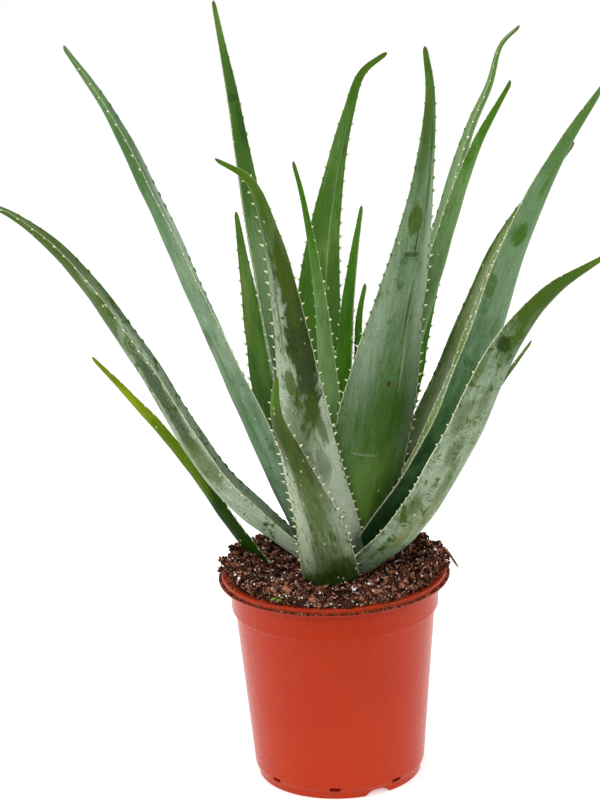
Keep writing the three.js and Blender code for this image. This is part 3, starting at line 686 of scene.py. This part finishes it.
def rounded(profile, radius):
    """Replaces each inner corner of a polyline by a short arc of two chords, no larger than radius."""
    result = [profile[0]]
    for before, corner, after in zip(profile, profile[1:], profile[2:]):
        corner = np.array(corner)
        back, on = np.array(before) - corner, np.array(after) - corner
        cut = min(radius, np.linalg.norm(back) * 0.4, np.linalg.norm(on) * 0.4)
        start, end = corner + unit(back) * cut, corner + unit(on) * cut
        for t in (0.0, 0.33, 0.67, 1.0):
            result.append(tuple((1 - t) ** 2 * start + 2 * t * (1 - t) * corner + t ** 2 * end))
    result.append(profile[-1])
    return result


def pot_profile():
    p = POT
    under = p.floor_height - p.floor
    lip, ledge, collar = p.rim_radius - p.wall, p.ledge_height - p.ledge_thickness, p.collar_bottom
    outside = [
        (0, 0), (p.pad_radius, 0), (p.pad_radius + under, under), (p.foot_inner, under), (p.foot_inner, 0),
        (p.foot_radius, 0), (p.foot_radius + 0.4, under), (p.base_radius - 0.7, p.base_height - 1.3),
        (p.base_radius, p.base_height + 1.2), (p.shoulder_radius, p.shoulder_height),
        (collar, p.collar_height - 0.8), (collar + 0.1, p.collar_height),
        (p.collar_top, p.rim_height - 1.5 * p.wall), (lip, p.rim_height - 1.2 * p.wall), (lip, ledge),
        (p.ledge_radius - 0.4, ledge), (p.ledge_radius, p.ledge_height - 0.5),
        (p.ledge_radius - 0.3, p.ledge_height), (p.rim_radius + 0.2, p.ledge_height),
        (p.rim_radius, p.rim_height - 0.4), (p.rim_radius - 0.4, p.rim_height),
    ]
    inside = [
        (p.mouth_radius + 0.4, p.rim_height), (p.mouth_radius, p.rim_height - 1.5 * p.wall),
        (collar - p.wall, p.collar_height), (p.shoulder_radius - p.wall, p.shoulder_height),
        (p.base_radius - p.wall, p.base_height + 1.8), (p.foot_radius - p.wall, p.floor_height),
        (p.pad_radius + under, p.floor_height), (p.pad_radius, p.floor), (0, p.floor),
    ]
    return rounded([*outside, *inside], 0.5)


def from_front(degrees):
    """Bearing in radians of a place that many degrees right of the pot's front."""
    return math.radians(degrees - 90)


def turn_between(angle, centre):
    """Turn from one bearing to another, from minus to plus half a circle."""
    return (angle - centre + math.pi) % (2 * math.pi) - math.pi


def notch_lift(angle):
    """Height of the foot's lower edge: arched notches at even spacing."""
    lift = 0.0
    for k in range(POT.notches):
        centre = from_front(POT.first_notch + 360 / POT.notches * k)
        x = abs(turn_between(angle, centre)) * POT.foot_radius / (POT.notch_width / 2)
        if x < 1:
            lift = POT.notch_height * (1 - x ** 3) ** 1.2
    return lift


SEAM = from_front(-49.0)
SEAM_HEIGHT = 0.25
SEAM_HALF_WIDTH = 0.7


def pot_mesh():
    """The lathed moulding with its notches, a fine seam on the collar and a slight warp."""
    profile = pot_profile()
    rings = profile[1:-1]
    under = POT.floor_height - POT.floor
    points = [(0, 0, profile[0][1])]
    for radius, height in rings:
        in_foot = POT.foot_inner - 1 < radius < POT.foot_radius + 0.6 and height < under - 0.7
        on_collar = POT.collar_height < height < POT.rim_height - 2 and radius > POT.collar_bottom
        for angle in np.arange(POT_SEGMENTS) * 2 * math.pi / POT_SEGMENTS:
            z, r = height, radius
            if in_foot:
                z = max(height, notch_lift(angle) * (1 - height / under) + height)
            if on_collar:
                off_seam = abs(turn_between(angle, SEAM)) * radius
                r += SEAM_HEIGHT * math.exp(-(off_seam / SEAM_HALF_WIDTH) ** 2)
            if radius > POT.foot_radius:
                warp = 0.18 * math.sin(2 * angle + 0.7) + 0.07 * math.sin(5 * angle)
                r += warp * min(1.0, height / POT.shoulder_height)
            points.append((r * math.cos(angle), r * math.sin(angle), z))
    end = len(points) - POT_SEGMENTS
    points.append((0, 0, profile[-1][1]))
    faces = band_faces(len(rings), POT_SEGMENTS, 1) + fan_faces(0, 1, POT_SEGMENTS, True)
    return points, faces + fan_faces(len(points) - 1, end, POT_SEGMENTS)


def pot_cutters():
    """Slots where the wall meets the floor, and round holes in the floor."""
    work = bmesh.new()
    for k in range(POT.drains):
        turn = Matrix.Rotation(math.radians(POT.first_drain + 360 / POT.drains * k), 4, "Z")
        height = POT.floor_height + POT.slot_height / 2 - 0.4
        slot = turn @ Matrix.Translation((0, -POT.base_radius * MM, height * MM))
        size = Matrix.Diagonal((POT.slot_width * MM, 6 * POT.wall * MM, POT.slot_height * MM, 1))
        bmesh.ops.create_cube(work, size=1.0, matrix=slot @ size)
        hole = turn @ Matrix.Translation((0, -POT.drain_circle * MM, POT.floor_height * MM))
        bmesh.ops.create_cone(work, cap_ends=True, segments=32, radius1=POT.drain_radius * MM,
                              radius2=POT.drain_radius * MM, depth=6 * POT.floor * MM, matrix=hole)
    mesh = bpy.data.meshes.new("pot_cutters")
    work.to_mesh(mesh)
    work.free()
    return placed("pot_cutters", mesh)


def pot_material():
    t = Tree("pot_plastic")
    place = t.object_place()
    cloud = t.noise(place, 9.0, 3.0)
    grain = t.noise(place, 1500.0, 3.0, 0.65)
    speckle = t.noise(place, 420.0, 5.0, 0.7)
    scuffs = t.noise(t.stretched(place, (1.0, 1.0, 6.0)), 260.0, 4.0, 0.7, 0.8)
    colour = t.mix(t.ramp(cloud, 0.3, 0.7), srgb(167, 36, 0), srgb(173, 42, 0))
    colour = t.mix(t.ramp(grain, 0.3, 0.75, 0.0, 0.14), colour, srgb(214, 96, 40))
    colour = t.mix(t.ramp(scuffs, 0.66, 0.74, 0.0, 0.35), colour, srgb(222, 140, 112))
    height = t.part(place, "Z")
    dust = t.ramp(height, 0.016, 0.002) * t.ramp(speckle, 0.5, 0.66)
    colour = t.mix(dust * 0.55, colour, srgb(96, 62, 44))
    spilled = t.ramp(height, 0.1505, 0.154) * t.ramp(speckle, 0.44, 0.6)
    colour = t.mix(spilled * 0.6, colour, srgb(84, 52, 38))
    normal = t.bump(cloud, 0.15, 0.004, t.bump(grain, 0.08, 0.0004))
    return t.finish(Base_Color=colour, Specular_IOR_Level=0.17, Normal=normal,
                    Roughness=t.ramp(grain, 0.2, 0.8, 0.22, 0.32))


def build_pot():
    points, faces = pot_mesh()
    piece = mesh_object("moulded_pot", points, faces, pot_material())
    face_outwards(piece)
    cutter = pot_cutters()
    cut = piece.modifiers.new("drains", "BOOLEAN")
    cut.operation = "DIFFERENCE"
    cut.object = cutter
    cut.solver = "EXACT"
    graph = bpy.context.evaluated_depsgraph_get()
    mesh = bpy.data.meshes.new_from_object(piece.evaluated_get(graph))
    piece.modifiers.clear()
    piece.data = mesh
    bpy.data.objects.remove(cutter)
    smooth_by_angle(piece, 32)
    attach(piece, "root")
    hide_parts("pot")


def smooth_by_angle(piece, degrees):
    """Smooth shading with hard edges where faces meet at more than the angle."""
    work = bmesh.new()
    work.from_mesh(piece.data)
    limit = math.radians(degrees)
    for edge in work.edges:
        edge.smooth = len(edge.link_faces) == 2 and edge.calc_face_angle(0) < limit
    for face in work.faces:
        face.smooth = True
    work.to_mesh(piece.data)
    work.free()


# ---- soil ----------------------------------------------------------------------------------------


def soil_rise(x, y):
    """The solid model's soil surface above its level, for arrays of places in millimetres."""
    reach = np.hypot(x, y) / SOIL.edge_radius
    around = np.arctan2(y, x)
    front_to_back = SOIL.heap_front + (SOIL.heap_back - SOIL.heap_front) * (1 + np.sin(around)) / 2
    raised = front_to_back + (1 - front_to_back) * np.cos(around) ** 2
    heap = SOIL.heap * raised * np.exp(-((reach - SOIL.heap_reach) / SOIL.heap_spread) ** 2)
    long_wave = np.sin(x * 0.11 + 1.3) * np.cos(y * 0.13 - 0.4)
    short_wave = np.sin(x * 0.37 + y * 0.21) * np.cos(y * 0.41 - x * 0.17 + 2.1)
    return heap + SOIL.lumps * (long_wave + short_wave) / 2


def rough_noise(x, y, seed, octaves, size):
    """Sum of turned sine waves: a cheap repeatable rough surface between about -1 and 1."""
    wave = np.random.default_rng(seed)
    total = np.zeros_like(x)
    for octave in range(octaves):
        for _ in range(5):
            turn, phase = wave.uniform(0, math.pi), wave.uniform(0, 6.28)
            length = size / 1.9 ** octave * wave.uniform(0.8, 1.25)
            along = x * math.cos(turn) + y * math.sin(turn)
            total += np.sin(along * 2 * math.pi / length + phase) / 1.6 ** octave
    return total / 5


COARSENESS = 2.2
SETTLED = 1.0  # how far the fine soil lies under the solid's surface


def soil_height(x, y):
    """Top of the fine soil in millimetres."""
    radius = np.hypot(x, y)
    base = SOIL.level + soil_rise(x, y)
    lowest = POT.rim_height + SOIL.edge_rise + 0.35
    base = np.where(radius > POT.mouth_radius - 5, np.maximum(base, lowest), base)
    return base + COARSENESS * rough_noise(x, y, SEEDS.ground, 5, 12.0) - SETTLED


def soil_material(name, dark, light):
    t = Tree(name)
    place = t.object_place()
    tone = t.attribute("tone")
    mottle = t.noise(place, 700.0, 5.0, 0.7)
    colour = t.mix(t.ramp(mottle, 0.3, 0.75), dark, light)
    colour = t.mix(t.ramp(tone, 0.1, 0.9, 0.0, 0.9), colour, srgb(178, 122, 94))
    colour = t.shaded(colour, t.ramp(tone, 0.0, 0.3, 0.3, 1.0))
    return t.finish(Base_Color=colour, Roughness=0.9, Specular_IOR_Level=0.12,
                    Normal=t.bump(mottle, 0.5, 0.0008))


def lump_shapes():
    """A few rough pebbles of unit size, which the crumbs are scaled and turned from."""
    shapes = []
    for shape in range(COUNTS.pebbles):
        work = bmesh.new()
        bmesh.ops.create_icosphere(work, subdivisions=2, radius=1.0)
        place = np.array([v.co[:] for v in work.verts])
        faces = [tuple(v.index for v in f.verts) for f in work.faces]
        work.free()
        wave = np.random.default_rng(SEEDS.pebbles + shape)
        for _ in range(5):
            axis = unit(wave.normal(size=3))
            waves = np.sin(place @ axis * wave.uniform(2.5, 6.5) + wave.uniform(0, 6))
            place = place * (1 + 0.2 * waves)[:, None]
        for _ in range(4):
            axis = unit(wave.normal(size=3))
            depth = place @ axis
            limit = wave.uniform(0.55, 0.8)
            place = place - np.outer(np.maximum(0, depth - limit), axis) * 0.85
        shapes.append((place, faces))
    return shapes


def turned_axes(count, wave):
    """Random rotation matrices."""
    quaternion = unit(wave.normal(size=(count, 4)))
    w, x, y, z = quaternion.T
    return np.stack([
        np.stack([1 - 2 * (y * y + z * z), 2 * (x * y - z * w), 2 * (x * z + y * w)], -1),
        np.stack([2 * (x * y + z * w), 1 - 2 * (x * x + z * z), 2 * (y * z - x * w)], -1),
        np.stack([2 * (x * z - y * w), 2 * (y * z + x * w), 1 - 2 * (x * x + y * y)], -1),
    ], 1)


def scattered(name, places, sizes, shapes, material, wave, tones, flatten=(0.35, 0.95)):
    """One piece of many crumbs at the given places and sizes, in millimetres."""
    axes = turned_axes(len(places), wave)
    points, faces, tone = [], [], []
    start = 0
    for k, place in enumerate(places):
        shape, shape_faces = shapes[k % len(shapes)]
        stretch = np.array([1.0, wave.uniform(*flatten), wave.uniform(*flatten)])
        points.append((shape * stretch * sizes[k]) @ axes[k].T + place)
        faces.extend([tuple(v + start for v in face) for face in shape_faces])
        tone.append(np.full(len(shape), tones[k]))
        start += len(shape)
    tone = {"tone": np.concatenate(tone)}
    piece = mesh_object(name, np.concatenate(points), faces, material, tone, smooth=False)
    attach(piece, "root")


def random_places(count, wave, inner=0.0):
    """Even random places on the soil's surface."""
    radius = np.sqrt(wave.uniform(inner ** 2, (SOIL.edge_radius - 0.4) ** 2, count))
    angle = wave.uniform(0, 2 * math.pi, count)
    x, y = radius * np.cos(angle), radius * np.sin(angle)
    return np.stack([x, y, soil_height(x, y)], -1)


SOIL_RINGS = 150
SOIL_SPOKES = 420
SOIL_GAP = 0.4  # between the soil and the pot's inside


def soil_top():
    """The fine soil surface with a skirt down to just over the rim, and the mass inside the pot."""
    shares = np.linspace(0, 1, SOIL_RINGS + 1)[1:, None]
    angles = np.arange(SOIL_SPOKES) * 2 * math.pi / SOIL_SPOKES
    edge = 0.012 * np.sin(angles * 7 + 1) + 0.01 * np.sin(angles * 17) + 0.006 * np.sin(angles * 41)
    radius = shares * (SOIL.edge_radius - 1.2) * (1 - shares ** 6 * (0.02 - edge))
    x, y = radius * np.cos(angles), radius * np.sin(angles)
    fall = np.clip((shares - 0.93) / 0.07, 0, 1) ** 2
    floor = POT.rim_height + SOIL_GAP
    z = soil_height(x, y) * (1 - fall) + (floor + 0.5) * fall
    gap = POT.wall + SOIL_GAP
    rings = [
        (radius[-1], floor), (POT.mouth_radius - SOIL_GAP, floor), (POT.mouth_radius - SOIL_GAP, 154.0),
        (POT.collar_bottom - gap, POT.collar_height + 0.4), (POT.shoulder_radius - gap, POT.shoulder_height),
        (POT.base_radius - gap, POT.base_height + 2.2), (POT.foot_radius - gap, POT.floor_height + SOIL_GAP),
        (POT.pad_radius + 6, POT.floor_height + SOIL_GAP), (POT.pad_radius - 0.5, POT.floor + SOIL_GAP),
    ]
    centre = np.zeros(1)
    points = [[(0, 0, soil_height(centre, centre)[0])], np.stack([x, y, z], -1).reshape(-1, 3)]
    points += [np.stack([r * np.cos(angles), r * np.sin(angles), height + 0 * angles], -1)
               for r, height in rings]
    points = np.concatenate([*points, [(0, 0, POT.floor + SOIL_GAP)]])
    last = len(points) - 1
    faces = fan_faces(0, 1, SOIL_SPOKES) + band_faces(SOIL_RINGS + len(rings), SOIL_SPOKES, 1, True)
    return points, faces + fan_faces(last, last - SOIL_SPOKES, SOIL_SPOKES, True)


def build_soil():
    # The soil body's near-black colour is damp peat darkened further as painted shade in the gaps between the
    # crumbs.
    peat_skin_painted_gap_shade = soil_material("peat", srgb(12, 4, 2), srgb(66, 34, 20))
    crumb_skin = soil_material("peat_crumbs", srgb(42, 18, 12), srgb(142, 84, 60))
    points, faces = soil_top()
    # Its tone of zero multiplies that colour by 0.3, more painted shade for the gaps.
    piece = mesh_object("soil_body", points, faces, peat_skin_painted_gap_shade, {"tone": np.zeros(len(points))})
    face_outwards(piece)
    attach(piece, "root")
    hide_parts("soil")
    shapes = lump_shapes()
    wave = np.random.default_rng(SEEDS.soil)
    fine = np.concatenate([random_places(COUNTS.crumbs, wave),
                           random_places(COUNTS.edge_crumbs, wave, SOIL.edge_radius - 9)])
    on_slope = np.hypot(fine[:, 0], fine[:, 1]) > SOIL.edge_radius - 4
    above_rim = fine[:, 2] - POT.rim_height - 0.8
    fine[:, 2] -= np.where(on_slope, wave.uniform(0, 1, len(fine)) * above_rim, 0)
    sizes = np.minimum(wave.gamma(2.2, 0.36, len(fine)) + 0.25, 3.2)
    fine[:, 2] += sizes * 0.2
    scattered("soil_crumbs", fine, sizes, shapes, crumb_skin, wave, soil_tones(len(fine), wave))
    build_clods(shapes, crumb_skin, wave)
    build_lip_crumbs(shapes, crumb_skin, wave)
    build_perlite(shapes, wave)
    build_fibres(crumb_skin, wave)
    build_sprig()


def soil_tones(count, wave):
    """Mostly dark crumbs, some reddish brown and a few pale ones."""
    return wave.random(count) ** 3.2


# Clods lying on the heaps: bearing from the right in degrees, radius, height above the soil, size.
CLODS = [
    (178, 79, 1.5, 4.5), (170, 74, 3.5, 4.5), (160, 75, 2.0, 4.0), (186, 77, 1.0, 3.8), (196, 75, 0.5, 3.2),
    (150, 70, 1.0, 3.5), (24, 73, 3.0, 4.5), (12, 77, 2.0, 5.0), (2, 80, 0.8, 4.0), (34, 66, 1.5, 4.0),
    (-8, 77, 0.5, 3.2), (4, 82, -0.5, 4.0), (-3, 83, -2.5, 3.6), (10, 82, 0.0, 4.0), (17, 81, 0.5, 3.8),
    (172, 82, -0.5, 3.6), (180, 83, -2.0, 3.4), (-48, 42, 0.5, 4.5), (-60, 52, 0.3, 3.6),
    (-30, 60, 0.5, 4.0), (-20, 50, 0.8, 4.4),
]


def build_clods(shapes, skin, wave):
    """Loose clods, each a heap of crumbs round one place."""
    places, sizes = [], []
    spots = [(math.radians(bearing), radius, lift, size) for bearing, radius, lift, size in CLODS]
    for _ in range(COUNTS.loose_clods):
        radius = math.sqrt(wave.uniform(20 ** 2, 76 ** 2))
        spots.append((wave.uniform(0, 2 * math.pi), radius, 0.0, wave.uniform(2.0, 3.8)))
    for bearing, radius, lift, size in spots:
        x, y = radius * math.cos(bearing), radius * math.sin(bearing)
        ground = float(soil_height(np.array([x]), np.array([y]))[0])
        count = int(9 * size)
        offsets = unit(wave.normal(size=(count, 3))) * (wave.random(count) ** 0.5 * size)[:, None]
        offsets[:, 2] *= 0.6
        places.append(offsets + np.array([x, y, ground + lift]))
        sizes.append(wave.uniform(0.25, 0.55, count) * size ** 0.8)
    places, sizes = np.concatenate(places), np.concatenate(sizes)
    scattered("soil_clods", places, sizes, shapes, skin, wave, soil_tones(len(places), wave))


def build_lip_crumbs(shapes, skin, wave):
    """Soil spilled over the rim and into the step between it and the outer ledge."""
    angle = wave.uniform(0, 2 * math.pi, COUNTS.lip_crumbs)
    drift = rough_noise(np.cos(angle) * 30, np.sin(angle) * 30, SEEDS.drift, 2, 20.0)
    angle = angle[drift > wave.uniform(-1.2, 0.2, len(angle))]
    on_rim = wave.random(len(angle)) < 0.12
    low = np.where(on_rim, SOIL.edge_radius - 2.5, POT.rim_radius + 0.4)
    high = np.where(on_rim, POT.rim_radius - 0.9, POT.ledge_radius - 0.4)
    radius = low + (high - low) * wave.random(len(angle))
    sizes = np.minimum(wave.gamma(2.0, 0.17, len(angle)) + 0.15, 1.1)
    ground = np.where(on_rim, POT.rim_height, POT.ledge_height)
    places = np.stack([radius * np.cos(angle), radius * np.sin(angle), ground + sizes * 0.5], -1)
    scattered("lip_crumbs", places, sizes, shapes, skin, wave, soil_tones(len(angle), wave))


def build_perlite(shapes, wave):
    t = Tree("perlite")
    dirt = t.noise(t.object_place(), 500.0, 4.0, 0.6)
    colour = t.mix(t.ramp(dirt, 0.45, 0.8), srgb(252, 250, 246), srgb(206, 196, 184))
    skin = t.finish(Base_Color=colour, Roughness=0.8, Specular_IOR_Level=0.3,
                    Normal=t.bump(dirt, 0.4, 0.0005))
    places = random_places(COUNTS.perlite, wave)
    sizes = np.minimum(wave.gamma(1.6, 0.17, len(places)) + 0.2, 1.4)
    places[:, 2] += sizes * 0.5 + 0.7
    scattered("perlite_grains", places, sizes, shapes, skin, wave, np.zeros(len(places)), (0.6, 0.95))


STRAND_SIDES = 6


def strands(name, paths, skin):
    """Tapered round strands: each path is its points in millimetres, its radius and its tone."""
    turn = 2 * math.pi * np.arange(STRAND_SIDES)[None, :, None] / STRAND_SIDES
    points, faces, tones = [], [], []
    start = 0
    for path, radius, tone in paths:
        path = np.asarray(path, float)
        along = unit(np.gradient(path, axis=0))
        across = unit(np.cross(along, (0.05, 0.02, 1.0)))
        up = np.cross(across, along)
        share = np.linspace(0, 1, len(path))
        width = radius * (0.3 + 0.7 * np.sin(math.pi * (0.15 + 0.75 * share)))
        ring = across[:, None] * np.cos(turn) + up[:, None] * np.sin(turn)
        points.append((path[:, None] + ring * width[:, None, None]).reshape(-1, 3))
        end = start + len(points[-1])
        faces += band_faces(len(path), STRAND_SIDES, start, True)
        faces += [tuple(range(start, start + STRAND_SIDES)), tuple(range(end - STRAND_SIDES, end))[::-1]]
        tones.append(np.full(end - start, tone))
        start = end
    piece = mesh_object(name, np.concatenate(points), faces, skin, {"tone": np.concatenate(tones)})
    face_outwards(piece)
    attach(piece, "root")


def build_fibres(skin, wave):
    """Short bent fibres and bark slivers lying on the soil, and a twig sticking out over the rim."""
    paths = []
    share = np.linspace(-0.5, 0.5, 5)[:, None]
    for place in random_places(COUNTS.fibres, wave):
        length = wave.uniform(2.0, 8.0)
        heading, pitch = wave.uniform(0, 2 * math.pi), wave.uniform(-0.2, 0.6)
        flat = math.cos(pitch)
        along = np.array([math.cos(heading) * flat, math.sin(heading) * flat, math.sin(pitch)])
        sideways = unit(np.cross(along, (0, 0, 1)))
        bend = wave.uniform(-0.5, 0.5) * length
        path = place + along * length * share + sideways * bend * share ** 2 + np.array([0, 0, 0.9])
        paths.append((path, wave.uniform(0.14, 0.4), wave.random() ** 1.5))
    twig = [(74, 22, 167), (80, 16, 166), (85, 8, 163.5), (89, 0, 159.5), (91, -3, 157)]
    paths.append((twig, 1.1, 0.5))
    strands("soil_fibres", paths, skin)


def build_sprig():
    """A tiny green weed by the rim at the front left."""
    t = Tree("weed")
    green = t.noise(t.object_place(), 600.0)
    skin = t.finish(Base_Color=t.mix(green, srgb(74, 122, 16), srgb(132, 176, 48)), Roughness=0.5)
    root = np.array([-40.0, -64.0, 158.5])
    blades = ((200, 6.5, 2.2), (150, 4.6, 3.2), (255, 5.2, 1.8), (330, 3.6, 3.0), (285, 4.2, 1.5))
    paths = []
    for heading, length, rise in blades:
        along = np.array([math.cos(math.radians(heading)), math.sin(math.radians(heading)), 0.0]) * length
        path = [root + along * s + np.array([0, 0, rise * math.sin(2.4 * s)]) for s in np.linspace(0, 1, 6)]
        paths.append((path, 0.95, 0.5))
    strands("weed_sprig", paths, skin)


# ---- stem, stage, light, camera --------------------------------------------------------------------


def finish_stem():
    t = Tree("stem_skin")
    rings = t.noise(t.stretched(t.object_place(), (1.0, 1.0, 6.0)), 160.0, 4.0)
    colour = t.mix(t.ramp(rings, 0.3, 0.7), srgb(110, 104, 66), srgb(150, 152, 96))
    skin = t.finish(Base_Color=colour, Roughness=0.7, Normal=t.bump(rings, 0.4, 0.001))
    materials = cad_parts["stem"].data.materials
    materials.clear()
    materials.append(skin)


# Where along Y, in metres, the floor turns from light grey, painted shade, to white with a painted glow.
GREY_BEFORE = -0.35
WHITE_FROM = -0.135


def build_stage():
    """A pale paper floor, white under and behind the plant and a little greyer towards the viewer: the grey
    in front is painted shade, and the white part glows, painted light that washes out the plant's shadows on
    it.
    """
    t = Tree("paper_floor")
    lit = t.ramp(t.part(t.object_place(), "Y"), GREY_BEFORE, WHITE_FROM)
    grain = t.noise(t.object_place(), 160.0, 2.0)
    white = t.mix(grain, (0.87, 0.87, 0.87, 1.0), (0.89, 0.89, 0.89, 1.0))
    # The emission is painted light: the floor glows where it is white, so only faint shadows fall on it.
    paper = t.finish(Base_Color=t.mix(lit, (0.6, 0.6, 0.6, 1.0), white), Roughness=0.9,
                     Emission_Color=(1.0, 1.0, 1.0, 1.0), Emission_Strength=lit * 0.42)
    reach = 6000
    corners = [(-reach, -reach, 0), (reach, -reach, 0), (reach, reach, 0), (-reach, reach, 0)]
    mesh_object("paper", corners, [(0, 1, 2, 3)], paper, smooth=False)


def area_light(name, place, size, power):
    """A rectangular lamp aimed at the plant's middle."""
    data = bpy.data.lights.new(name, "AREA")
    data.shape = "RECTANGLE"
    data.size, data.size_y = size
    data.energy = power
    lamp = placed(name, data)
    lamp.location = place
    lamp.rotation_euler = (Vector((0, 0, 0.25)) - Vector(place)).to_track_quat("-Z", "Y").to_euler()


def build_world():
    """White behind the plant, dark on the side it is seen from."""
    t = Tree("studio", "worlds", "Background")
    depth = t.part(t.out(t.add("ShaderNodeTexCoord"), "Generated"), "Y")
    bpy.context.scene.world = t.finish(Color=(1, 1, 1, 1), Strength=t.ramp(depth, -0.6, 0.4, 0.03, 1.0))


def build_light():
    build_world()
    area_light("left_box", (-1.35, -0.75, 0.85), (0.7, 1.3), 11)
    area_light("right_box", (1.35, -0.75, 0.85), (0.7, 1.3), 9.5)
    area_light("top_box", (0.0, -0.25, 1.9), (1.2, 0.8), 9)
    area_light("front_box", (-0.3, -2.3, 1.5), (1.6, 0.9), 26)
    bpy.context.scene.view_settings.view_transform = "Standard"


def build_camera():
    """The photograph's view: distance, height angle and roll found from the pot's rings."""
    distance = 2.5
    raised, roll = math.radians(17.82), math.radians(1.82)
    aim = Vector((0, 0, 0.3))
    pixels_per_metre = 1383.7
    picture_height = 800
    off_centre = (28.2, 15.8)
    view = Vector((0, math.cos(raised), -math.sin(raised)))
    right = Vector((1, 0, 0))
    up = right.cross(view)
    tilted_right = right * math.cos(roll) - up * math.sin(roll)
    tilted_up = right * math.sin(roll) + up * math.cos(roll)
    place = aim - view * distance
    data = bpy.data.cameras.new("camera")
    data.sensor_fit = "AUTO"
    data.sensor_width = 36.0
    data.lens = pixels_per_metre * distance / picture_height * data.sensor_width
    data.shift_x = -off_centre[0] / picture_height
    data.shift_y = -off_centre[1] / picture_height
    data.clip_end = 50
    camera = placed("camera", data)
    axes = Matrix((tilted_right, tilted_up, -view)).transposed().to_4x4()
    camera.matrix_world = Matrix.Translation(place) @ axes
    bpy.context.scene.camera = camera


build_camera()
build_stage()
build_light()
build_pot()
build_soil()
finish_stem()
for number, (leaf_name, leaf_data) in enumerate(LEAVES.items()):
    build_leaf(leaf_name, number, *leaf_data)
